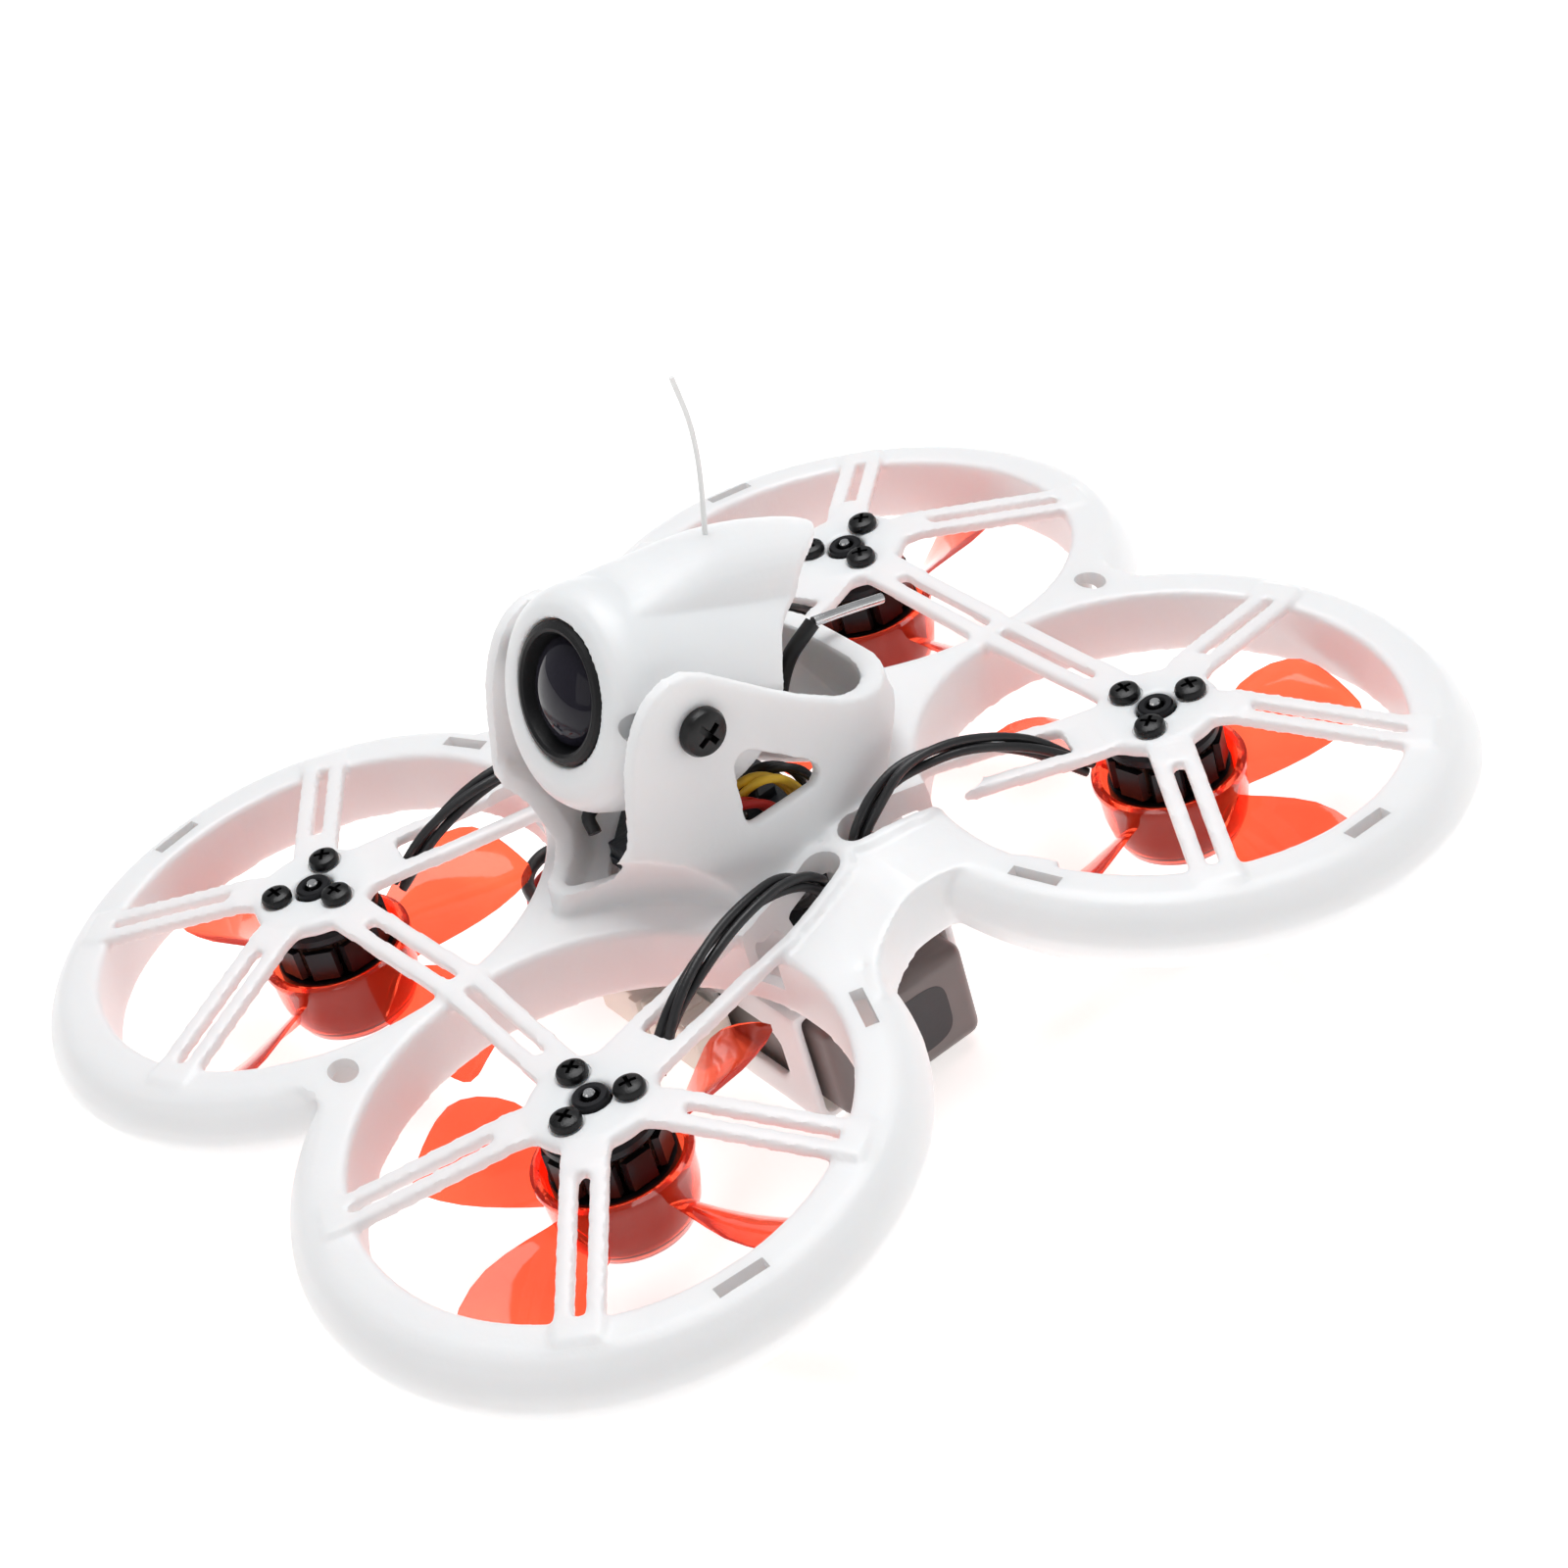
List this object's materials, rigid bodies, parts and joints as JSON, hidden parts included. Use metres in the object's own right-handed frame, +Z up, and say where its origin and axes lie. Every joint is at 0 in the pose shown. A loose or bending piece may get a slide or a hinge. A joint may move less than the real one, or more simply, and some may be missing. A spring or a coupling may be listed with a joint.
{
  "type": "ducted micro racing drone",
  "caption": "Small quadcopter with round prop guards, clear red propellers, a tilting camera pod on a white moulded frame and a slide-in battery underneath.",
  "frame": {"origin": "centre of the overall box at the level of the battery bay's floor, on which the drone rests", "axes": "+Z up, -Y towards the nose, +X towards the drone's left"},
  "size_m": [0.097, 0.1144, 0.0618],
  "materials": {
    "frame_white": "satin, slightly see-through moulded plastic",
    "prop_red": "clear red, glossy",
    "black_metal": "black anodised, satin",
    "bright_steel": "ground bright",
    "screw_black": "black oxide, satin",
    "lead_black": "smooth silicone sleeve",
    "lead_red": "smooth silicone sleeve",
    "lens_glass": "coated, dark",
    "camera_black": "satin",
    "board_black": "solder mask, satin",
    "battery_wrap": "shrink wrap, slight wrinkles",
    "connector_cream": "nylon, satin",
    "whip_white": "satin"
  },
  "bodies": {
    "frame": {"duct_front_left": "frame_white", "motor_mount_front_left": "frame_white", "motor_stator_front_left": "black_metal", "motor_leads_front_left": "lead_black", "motor_screw_front_left_1": "screw_black", "motor_screw_front_left_2": "screw_black", "motor_screw_front_left_3": "screw_black", "duct_front_right": "frame_white", "motor_mount_front_right": "frame_white", "motor_stator_front_right": "black_metal", "motor_leads_front_right": "lead_black", "motor_screw_front_right_1": "screw_black", "motor_screw_front_right_2": "screw_black", "motor_screw_front_right_3": "screw_black", "duct_rear_left": "frame_white", "motor_mount_rear_left": "frame_white", "motor_stator_rear_left": "black_metal", "motor_leads_rear_left": "lead_black", "motor_screw_rear_left_1": "screw_black", "motor_screw_rear_left_2": "screw_black", "motor_screw_rear_left_3": "screw_black", "duct_rear_right": "frame_white", "motor_mount_rear_right": "frame_white", "motor_stator_rear_right": "black_metal", "motor_leads_rear_right": "lead_black", "motor_screw_rear_right_1": "screw_black", "motor_screw_rear_right_2": "screw_black", "motor_screw_rear_right_3": "screw_black", "deck": "frame_white", "camera_pod": "frame_white", "battery_bay": "frame_white", "flight_controller": "board_black", "video_board": "board_black", "camera_cable": "lead_black", "antenna_sleeve": "lead_black", "antenna_tip": "bright_steel", "battery_socket": "connector_cream"},
    "prop_front_left": {"motor_bell_front_left": "black_metal", "motor_shaft_front_left": "bright_steel", "propeller_front_left": "prop_red"},
    "prop_front_right": {"motor_bell_front_right": "black_metal", "motor_shaft_front_right": "bright_steel", "propeller_front_right": "prop_red"},
    "prop_rear_left": {"motor_bell_rear_left": "black_metal", "motor_shaft_rear_left": "bright_steel", "propeller_rear_left": "prop_red"},
    "prop_rear_right": {"motor_bell_rear_right": "black_metal", "motor_shaft_rear_right": "bright_steel", "propeller_rear_right": "prop_red"},
    "camera": {"camera_housing": "frame_white", "camera_module": "camera_black", "lens_glass": "lens_glass", "pivot_screw_left": "screw_black", "pivot_screw_right": "screw_black", "whip_antenna": "whip_white"},
    "battery_pack": {"battery": "battery_wrap", "battery_lead_black": "lead_black", "battery_lead_red": "lead_red", "battery_plug": "connector_cream"}
  },
  "joints": [
    {"name": "spin_front_left", "type": "hinge", "parent": "frame", "child": "prop_front_left", "pos_m": [0.02185, -0.03048, 0.0122], "axis": [0, 0, 1], "continuous": true},
    {"name": "spin_front_right", "type": "hinge", "parent": "frame", "child": "prop_front_right", "pos_m": [-0.02185, -0.03048, 0.0122], "axis": [0, 0, 1], "continuous": true},
    {"name": "spin_rear_left", "type": "hinge", "parent": "frame", "child": "prop_rear_left", "pos_m": [0.02185, 0.03048, 0.0122], "axis": [0, 0, 1], "continuous": true},
    {"name": "spin_rear_right", "type": "hinge", "parent": "frame", "child": "prop_rear_right", "pos_m": [-0.02185, 0.03048, 0.0122], "axis": [0, 0, 1], "continuous": true},
    {"name": "camera_tilt", "type": "hinge", "parent": "frame", "child": "camera", "pos_m": [0, -0.0063, 0.0387], "axis": [-1, 0, 0], "range_deg": [-12, 12]},
    {"name": "battery_slide", "type": "slide", "parent": "frame", "child": "battery_pack", "axis": [-1, 0, 0], "range_m": [0, 0.042]}
  ]
}
